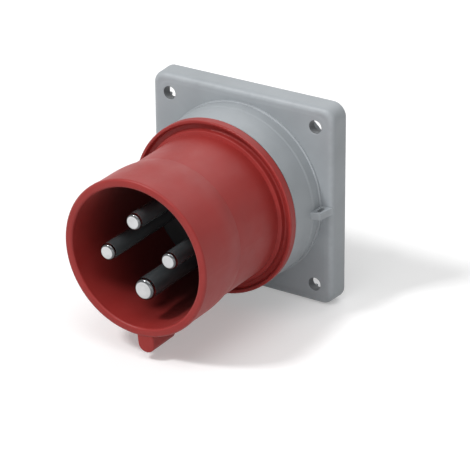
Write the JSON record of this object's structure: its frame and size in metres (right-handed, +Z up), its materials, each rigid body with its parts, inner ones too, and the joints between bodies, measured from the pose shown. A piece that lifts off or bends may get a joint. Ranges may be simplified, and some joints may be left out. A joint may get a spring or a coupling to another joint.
{
  "type": "pin and sleeve inlet",
  "caption": "Panel-mounted industrial power inlet: square flange, round collar with an eyelet, and a keyed sleeve around phase pins and a thicker earth pin.",
  "frame": {"origin": "centre of the flange's mounting face, on the axis of the sleeve", "axes": "+X to the right as seen from the front, +Y back through the panel, +Z up; the sleeve points along -Y"},
  "size_m": [0.075, 0.0903, 0.075],
  "materials": {
    "grey_plastic": "fine satin",
    "red_plastic": "satin",
    "black_plastic": "matte",
    "rubber": "matte",
    "plated_brass": "bright nickel plating",
    "zinc_steel": "bright zinc plating"
  },
  "bodies": {
    "root": {"flange_housing": "grey_plastic", "sleeve": "red_plastic", "pin_carrier": "black_plastic", "pin_retainer": "black_plastic", "sleeve_seal": "rubber", "panel_gasket": "rubber", "pin_l1": "plated_brass", "pin_l2": "plated_brass", "pin_l3": "plated_brass", "pin_earth": "plated_brass", "terminal_screw_l1": "zinc_steel", "terminal_screw_l2": "zinc_steel", "terminal_screw_l3": "zinc_steel", "terminal_screw_earth": "zinc_steel", "retainer_screw_1": "zinc_steel", "retainer_screw_2": "zinc_steel", "sleeve_screw_1": "zinc_steel", "sleeve_screw_2": "zinc_steel", "sleeve_screw_3": "zinc_steel", "sleeve_screw_4": "zinc_steel"}
  },
  "joints": []
}
